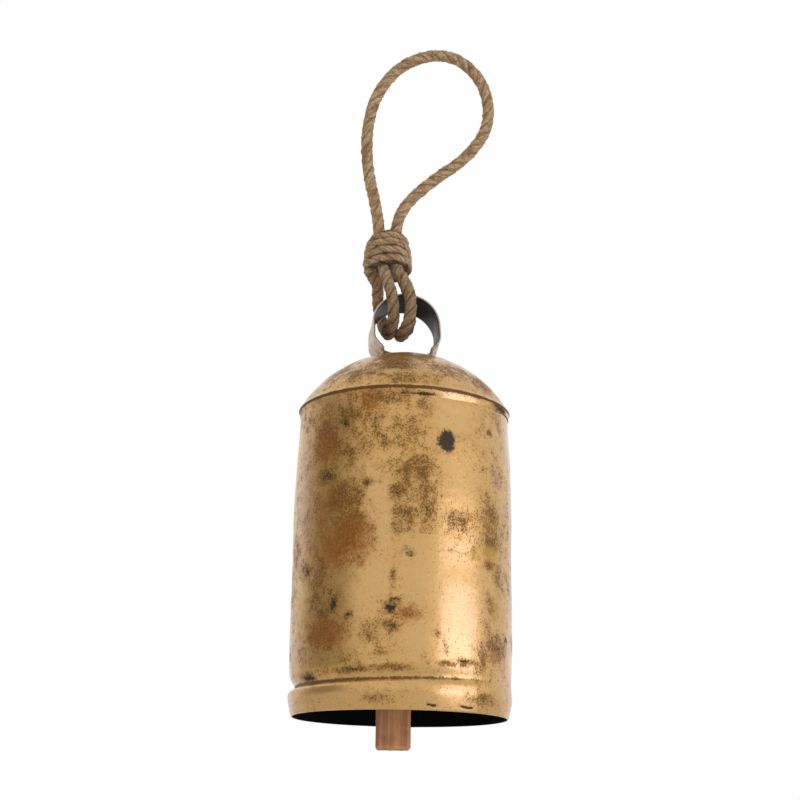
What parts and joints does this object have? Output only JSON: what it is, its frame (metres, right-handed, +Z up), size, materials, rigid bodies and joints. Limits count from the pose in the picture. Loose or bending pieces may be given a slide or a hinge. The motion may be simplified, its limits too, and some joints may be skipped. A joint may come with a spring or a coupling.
{
  "type": "yard bell",
  "caption": "Sheet-iron hanging yard bell: rolled shell, domed crown, strip bail, wooden clapper on a wire stirrup, and a knotted rope hanging loop.",
  "frame": {"origin": "underside of the rope loop's top, where the bell hangs from a hook", "axes": "+Z up along the bell, -Y the front, +X to the right as seen from the front"},
  "size_m": [0.1244, 0.1256, 0.4147],
  "materials": {
    "brazed_iron": "furnace-brazed brass skin on sheet iron, mottled and worn",
    "bail_iron": "bare scratched strip with a thin brassy bloom outside",
    "wire": "dull annealed wire",
    "clapper_wood": "rough-sawn hardwood, unvarnished",
    "jute_rope": "laid jute rope, slightly hairy"
  },
  "bodies": {
    "rope": {"rope_hang_loop": "jute_rope", "rope_knot": "jute_rope", "rope_turn_left": "jute_rope", "rope_turn_right": "jute_rope"},
    "bell": {"body_shell": "brazed_iron", "crown_dome": "brazed_iron", "bail_strip": "bail_iron", "clapper_staple": "wire"},
    "link": {"clapper_stirrup": "wire"},
    "clapper": {"clapper": "clapper_wood"}
  },
  "joints": [
    {"name": "bell_swing", "type": "hinge", "parent": "rope", "child": "bell", "pos_m": [-0.0162, 0.00535, -0.168], "axis": [0.1231, -0.9607, 0.2487], "range_deg": [-30, 30]},
    {"name": "link_swing", "type": "hinge", "parent": "bell", "child": "link", "pos_m": [-0.019, 0, -0.1983], "axis": [1, 0, 0], "range_deg": [-6, 6]},
    {"name": "clapper_swing", "type": "hinge", "parent": "link", "child": "clapper", "pos_m": [-0.019, 0, -0.2983], "axis": [0, 1, 0], "range_deg": [-22, 20]}
  ]
}
